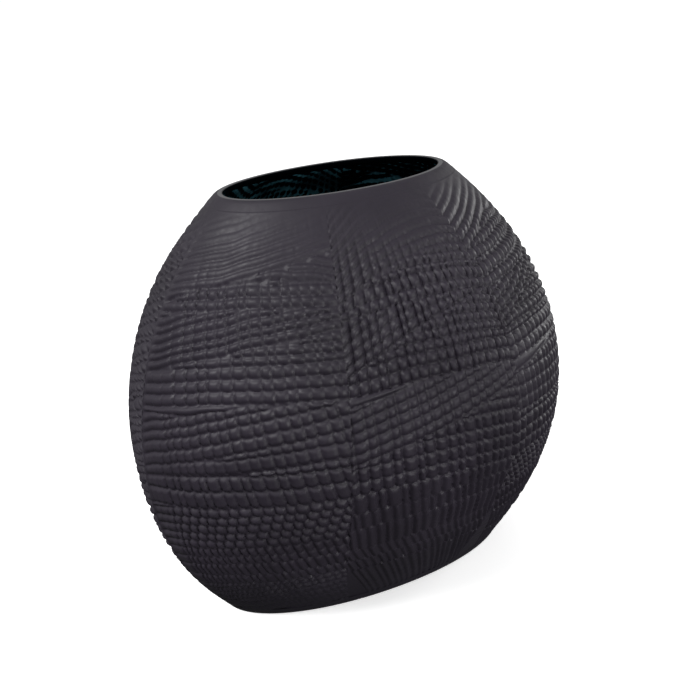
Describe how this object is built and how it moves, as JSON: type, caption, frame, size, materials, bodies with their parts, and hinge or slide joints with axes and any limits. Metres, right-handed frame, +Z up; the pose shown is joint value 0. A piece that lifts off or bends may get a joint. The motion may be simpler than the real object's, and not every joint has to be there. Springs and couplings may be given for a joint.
{
  "type": "flattened oval vase",
  "caption": "Tall flattened oval vase in fired black clay, with an oval mouth, ground rim and all-over carved relief of small rounded pads.",
  "frame": {"origin": "middle of the flat face that the vase stands on", "axes": "+Z up, +X to the right along the width, -Y towards the front"},
  "size_m": [0.2998, 0.2224, 0.282],
  "materials": {
    "clay_body": "carved, matt to satin black clay outside, burnished inside",
    "ground_rim": "ground flat, matt grey"
  },
  "bodies": {
    "root": {"base_slab": "clay_body", "front_shell": "clay_body", "back_shell": "clay_body", "left_side_strip": "clay_body", "right_side_strip": "clay_body", "rim_coil": "ground_rim"}
  },
  "joints": []
}
